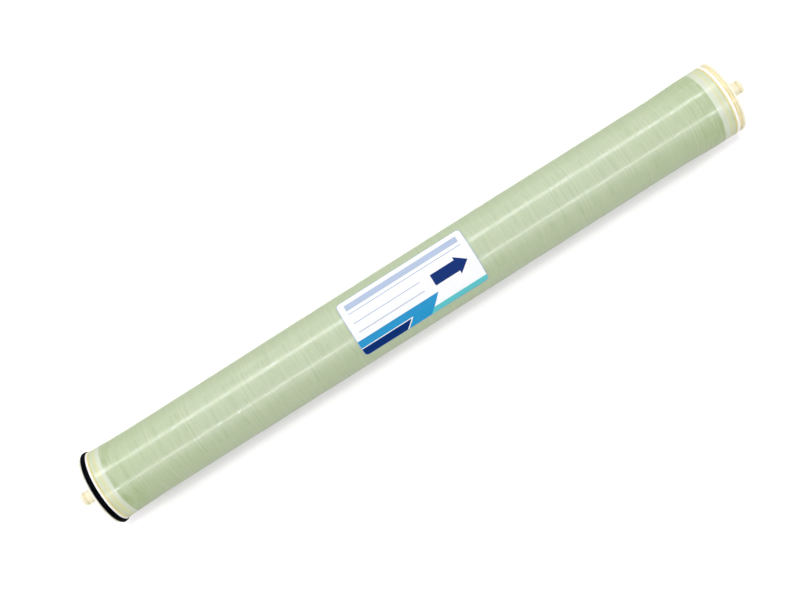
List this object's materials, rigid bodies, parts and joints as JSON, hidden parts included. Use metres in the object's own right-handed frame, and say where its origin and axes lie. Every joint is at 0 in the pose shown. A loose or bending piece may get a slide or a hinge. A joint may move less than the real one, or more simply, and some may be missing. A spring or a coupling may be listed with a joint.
{
  "type": "reverse osmosis membrane element",
  "caption": "Spiral-wound reverse osmosis membrane element: fibreglass-wrapped roll with spoked end caps, a brine seal and a permeate tube through it.",
  "frame": {"origin": "on the permeate tube's axis, half-way between the tube's two tips", "axes": "+X along the permeate tube from the feed end (brine seal) to the concentrate end, +Z out through the middle of the label, +Y to complete a right-handed frame"},
  "size_m": [1.016, 0.1054, 0.1054],
  "materials": {
    "tube_plastic": "satin moulded plastic",
    "carrier_cloth": "fine knitted cloth, resin stiffened",
    "membrane": "smooth thin film on fleece",
    "spacer_net": "diamond net",
    "roll_tape": "thin tape film",
    "cap_plastic": "satin moulded plastic",
    "joint_tape": "yellow tape, seen through the shell",
    "seal_rubber": "satin black rubber",
    "fibreglass": "glossy resin over wound glass roving",
    "label_film": null
  },
  "bodies": {
    "root": {"permeate_tube": "tube_plastic", "permeate_carrier": "carrier_cloth", "membrane_leaf_1": "membrane", "feed_spacer_1": "spacer_net", "membrane_leaf_2": "membrane", "feed_spacer_2": "spacer_net", "membrane_leaf_3": "membrane", "feed_spacer_3": "spacer_net", "membrane_leaf_4": "membrane", "feed_spacer_4": "spacer_net", "membrane_leaf_5": "membrane", "feed_spacer_5": "spacer_net", "roll_film": "roll_tape", "feed_end_cap": "cap_plastic", "feed_joint_tape": "joint_tape", "concentrate_end_cap": "cap_plastic", "concentrate_joint_tape": "joint_tape", "brine_seal": "seal_rubber", "fibreglass_shell": "fibreglass", "label": "label_film"}
  },
  "joints": []
}
